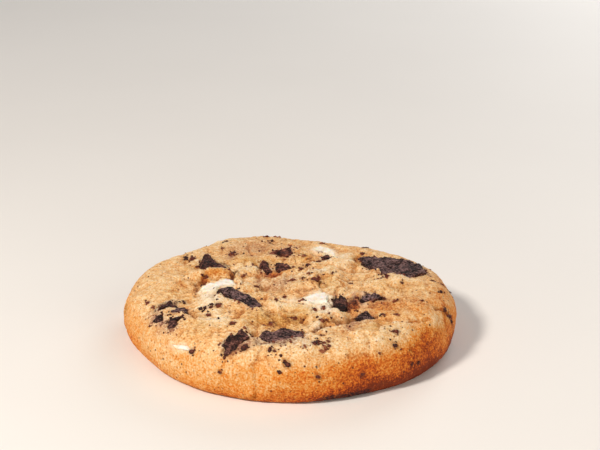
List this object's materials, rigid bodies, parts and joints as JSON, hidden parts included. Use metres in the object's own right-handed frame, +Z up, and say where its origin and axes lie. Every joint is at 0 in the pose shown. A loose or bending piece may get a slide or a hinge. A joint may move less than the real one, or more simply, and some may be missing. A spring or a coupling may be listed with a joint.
{
  "type": "cookies and cream cookie",
  "caption": "Thick soft-baked golden cookie with dark chocolate wafer chunks, dark crumbs and white cream pieces set in its top.",
  "frame": {"origin": "centre of the flat base, at the middle of the bounding box's bottom", "axes": "+Z up through the cookie's thickness; -Y is the side nearest the viewer in the picture, +X to the viewer's right"},
  "size_m": [0.09, 0.0841, 0.017],
  "materials": {
    "baked_dough": "matt, lightly browned soft-baked dough crust",
    "chocolate_wafer": "matt, crumbly black cocoa wafer",
    "white_cream": "satin, soft white cream filling"
  },
  "bodies": {
    "root": {"dough": "baked_dough", "wafer_back_right": "chocolate_wafer", "wafer_back_left": "chocolate_wafer", "wafer_leaning": "chocolate_wafer", "wafer_front_left": "chocolate_wafer", "wafer_front": "chocolate_wafer", "wafer_left_upper": "chocolate_wafer", "wafer_left_bar": "chocolate_wafer", "wafer_left_middle": "chocolate_wafer", "wafer_left_lower": "chocolate_wafer", "wafer_centre": "chocolate_wafer", "wafer_right": "chocolate_wafer", "wafer_middle_left": "chocolate_wafer", "wafer_middle_right": "chocolate_wafer", "wafer_back": "chocolate_wafer", "wafer_beside_cream": "chocolate_wafer", "wafer_front_right": "chocolate_wafer", "cream_left": "white_cream", "cream_centre": "white_cream", "cream_back": "white_cream", "cream_front_left": "white_cream"}
  },
  "joints": []
}
